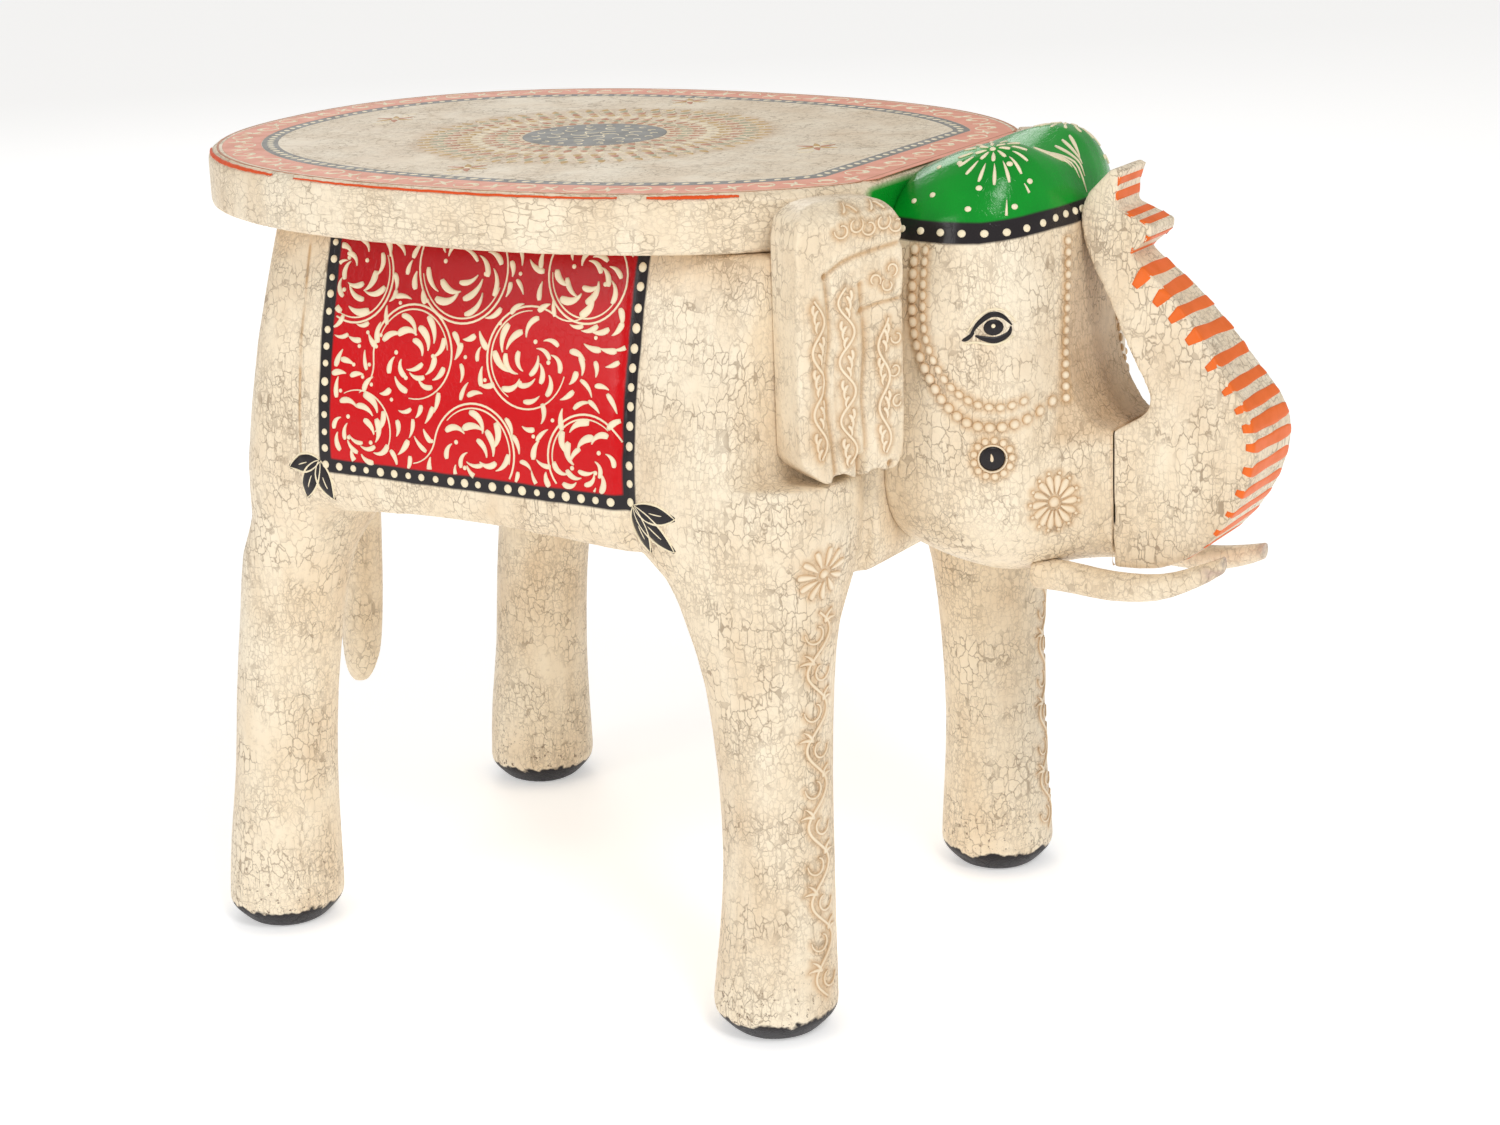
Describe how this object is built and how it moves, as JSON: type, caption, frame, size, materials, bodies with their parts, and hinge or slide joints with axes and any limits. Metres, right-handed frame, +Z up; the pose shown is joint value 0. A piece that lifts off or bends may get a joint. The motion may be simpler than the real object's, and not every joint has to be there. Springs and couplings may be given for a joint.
{
  "type": "carved wooden elephant stool",
  "caption": "Low stool carved as an elephant: oval seat on round legs, head with domed brow, raised trunk, slanted ears, tusks and tail, painted with a cloth and borders.",
  "frame": {"origin": "on the floor, in the middle of the stool's length and width", "axes": "+X the way the elephant looks, +Y to the elephant's left, +Z up"},
  "size_m": [0.419, 0.243, 0.3095],
  "materials": {
    "seat_paint": "crackled beige paint with painted borders, clear satin varnish",
    "cream_paint": "crackled cream paint with fine relief lines, soft gloss varnish",
    "flank_paint": "glossy red painted cloth with cream relief scrolls on crackled cream",
    "head_paint": "crackled cream paint with a glossy green brow and black band",
    "trunk_paint": "crackled cream paint with orange stripes along the outer edge",
    "tusk_paint": "smooth ivory-coloured paint with worn tips",
    "bare_wood": "unpainted turned dowel"
  },
  "bodies": {
    "root": {"seat_top": "seat_paint", "body_core": "cream_paint", "right_flank": "flank_paint", "left_flank": "flank_paint", "front_right_leg": "cream_paint", "front_left_leg": "cream_paint", "rear_right_leg": "cream_paint", "rear_left_leg": "cream_paint", "neck_block": "cream_paint", "head": "head_paint", "trunk": "trunk_paint", "right_ear": "cream_paint", "left_ear": "cream_paint", "right_tusk": "tusk_paint", "left_tusk": "tusk_paint", "tail": "cream_paint", "seat_dowels": "bare_wood", "leg_dowels": "bare_wood", "flank_dowels": "bare_wood", "neck_dowels": "bare_wood", "head_dowels": "bare_wood", "trunk_dowels": "bare_wood", "ear_dowels": "bare_wood", "tail_dowel": "bare_wood"}
  },
  "joints": []
}
